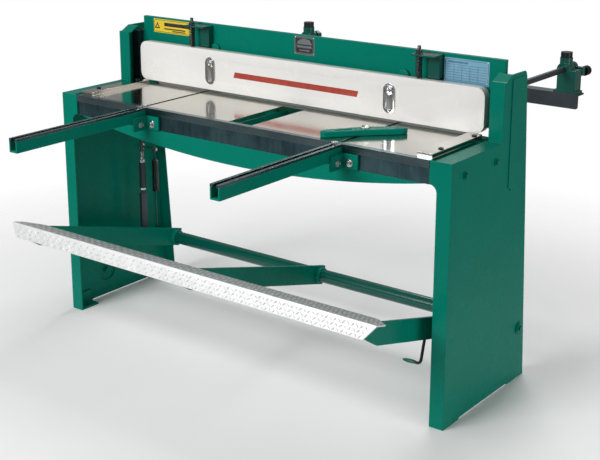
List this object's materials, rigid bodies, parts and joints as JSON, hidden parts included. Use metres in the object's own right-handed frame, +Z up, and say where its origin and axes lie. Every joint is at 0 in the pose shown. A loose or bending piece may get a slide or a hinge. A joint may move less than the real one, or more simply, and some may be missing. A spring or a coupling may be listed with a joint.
{
  "type": "squaring shear",
  "caption": "Foot-operated squaring shear: a treadle pulls a crosshead blade and hold-down bar to a slotted steel bed with front arms, bevel gauge and back gauge.",
  "frame": {"origin": "on the floor, midway between the four floor anchors", "axes": "+X along the cut, +Y from the operator to the back gauge, +Z up"},
  "size_m": [1.6188, 1.832, 1.076],
  "materials": {
    "green_paint": "gloss enamel",
    "white_paint": "gloss enamel",
    "ground_steel": "ground",
    "rail_steel": "machined, oiled",
    "dark_steel": "dark oiled steel",
    "tread_steel": "diamond plate",
    "zinc": "zinc plated",
    "black_oxide": "black oxide",
    "bronze": "cast bronze",
    "chrome": "polished",
    "yellow_plate": "printed plate",
    "blue_plate": "printed plate",
    "bare_plate": "etched plate"
  },
  "bodies": {
    "frame": {"left_side_frame": "green_paint", "right_side_frame": "green_paint", "foot_angles": "green_paint", "way_bars": "dark_steel", "gibs": "bronze", "pivot_bushes": "bronze", "spring_hangers": "zinc", "bed_brackets": "green_paint", "frame_bolts": "zinc", "front_rail": "rail_steel", "front_web": "dark_steel", "apron": "green_paint", "bed_ribs": "green_paint", "rear_beam": "green_paint", "table_sides": "ground_steel", "table_centre": "ground_steel", "lower_blade": "ground_steel", "lower_blade_screws": "black_oxide", "side_gauges": "ground_steel", "side_gauge_screws": "black_oxide", "left_front_arm": "green_paint", "right_front_arm": "green_paint", "front_arm_lips": "ground_steel", "arm_brackets": "green_paint", "return_springs": "dark_steel"},
    "treadle": {"tread_plate": "tread_steel", "treadle_arms": "green_paint", "torque_tube": "green_paint", "pivot_pins": "zinc", "arm_pins": "zinc"},
    "left_link": {"left_link": "dark_steel"},
    "right_link": {"right_link": "dark_steel"},
    "treadle_hook": {"treadle_hook": "black_oxide"},
    "crosshead": {"crosshead_beam": "green_paint", "crosshead_stiffener": "green_paint", "link_lugs": "green_paint", "upper_blade": "ground_steel", "upper_blade_screws": "black_oxide", "holddown_brackets": "green_paint", "holddown_springs": "black_oxide", "guide_bolts": "zinc", "warning_plate": "yellow_plate", "chart_plate": "blue_plate", "name_plate": "bare_plate", "gauge_rods": "dark_steel", "rod_sockets": "green_paint"},
    "holddown": {"holddown_bar": "white_paint", "slot_plates": "chrome", "holddown_studs": "zinc"},
    "gauge_blocks": {"adjust_blocks": "green_paint"},
    "left_adjust_knob": {"left_adjust_knob": "black_oxide"},
    "right_adjust_knob": {"right_adjust_knob": "black_oxide"},
    "back_gauge": {"gauge_carriages": "green_paint", "gauge_angle": "dark_steel"},
    "left_clamp_screw": {"left_clamp_screw": "zinc"},
    "right_clamp_screw": {"right_clamp_screw": "zinc"},
    "left_stop": {"left_stop": "zinc"},
    "right_stop": {"right_stop": "zinc"},
    "bevel_bolt": {"bevel_bolt": "zinc"},
    "bevel_gauge": {"bevel_gauge": "green_paint"}
  },
  "joints": [
    {"name": "treadle_pivot", "type": "hinge", "parent": "frame", "child": "treadle", "pos_m": [0, 0.209, 0.176], "axis": [1, 0, 0], "range_deg": [0, 17], "stiffness_Nm_per_rad": 420, "springref_deg": -77.35, "deforming": ["return_springs"]},
    {"name": "crosshead_slide", "type": "slide", "parent": "frame", "child": "crosshead", "axis": [0, 0, -1], "range_m": [0, 0.04493]},
    {"name": "holddown_slide", "type": "slide", "parent": "crosshead", "child": "holddown", "axis": [0, 0, 1], "range_m": [0, 0.0357], "deforming": ["holddown_springs"]},
    {"name": "left_link_pivot", "type": "hinge", "parent": "treadle", "child": "left_link", "pos_m": [-0.72, 0.05867, 0.19847], "axis": [1, 0, 0], "range_deg": [-17, 0]},
    {"name": "right_link_pivot", "type": "hinge", "parent": "treadle", "child": "right_link", "pos_m": [0.72, 0.05867, 0.19847], "axis": [1, 0, 0], "range_deg": [-17, 0]},
    {"name": "treadle_hook_swing", "type": "hinge", "parent": "treadle", "child": "treadle_hook", "pos_m": [0.691, -0.18428, 0.27322], "axis": [1, 0, 0], "range_deg": [-70, 80]},
    {"name": "gauge_slide", "type": "slide", "parent": "crosshead", "child": "gauge_blocks", "axis": [0, -1, 0], "range_m": [0, 0.695]},
    {"name": "left_knob_turn", "type": "hinge", "parent": "gauge_blocks", "child": "left_adjust_knob", "pos_m": [-0.616, 0.963, 0.872], "axis": [0, 1, 0], "range_deg": [-1800, 1800]},
    {"name": "right_knob_turn", "type": "hinge", "parent": "gauge_blocks", "child": "right_adjust_knob", "pos_m": [0.616, 0.963, 0.872], "axis": [0, 1, 0], "range_deg": [-1800, 1800]},
    {"name": "gauge_fine", "type": "slide", "parent": "gauge_blocks", "child": "back_gauge", "axis": [0, 1, 0], "range_m": [-0.0075, 0.0075]},
    {"name": "left_clamp_turn", "type": "hinge", "parent": "back_gauge", "child": "left_clamp_screw", "pos_m": [-0.58, 0.921, 0.94], "axis": [0, 0, 1], "range_deg": [-180, 180]},
    {"name": "right_clamp_turn", "type": "hinge", "parent": "back_gauge", "child": "right_clamp_screw", "pos_m": [0.58, 0.921, 0.94], "axis": [0, 0, 1], "range_deg": [-180, 180]},
    {"name": "left_stop_slide", "type": "slide", "parent": "frame", "child": "left_stop", "axis": [0, -1, 0], "range_m": [0, 0.52]},
    {"name": "right_stop_slide", "type": "slide", "parent": "frame", "child": "right_stop", "axis": [0, -1, 0], "range_m": [0, 0.52]},
    {"name": "bevel_slide", "type": "slide", "parent": "frame", "child": "bevel_bolt", "axis": [0, 1, 0], "range_m": [-0.05, 0.025]},
    {"name": "bevel_turn", "type": "hinge", "parent": "bevel_bolt", "child": "bevel_gauge", "pos_m": [0.404, -0.105, 0.829], "axis": [0, 0, 1], "range_deg": [-60, 20]}
  ],
  "couplings": [
    {"joint": "crosshead_slide", "follows": "treadle_pivot", "m_per_rad": 0.15143},
    {"joint": "holddown_slide", "follows": "treadle_pivot", "m_per_rad": 0.12031},
    {"joint": "left_link_pivot", "follows": "treadle_pivot", "ratio": -1},
    {"joint": "right_link_pivot", "follows": "treadle_pivot", "ratio": -1},
    {"joint": "left_knob_turn", "follows": "gauge_fine", "rad_per_m": 4188.4},
    {"joint": "right_knob_turn", "follows": "gauge_fine", "rad_per_m": 4188.4}
  ]
}
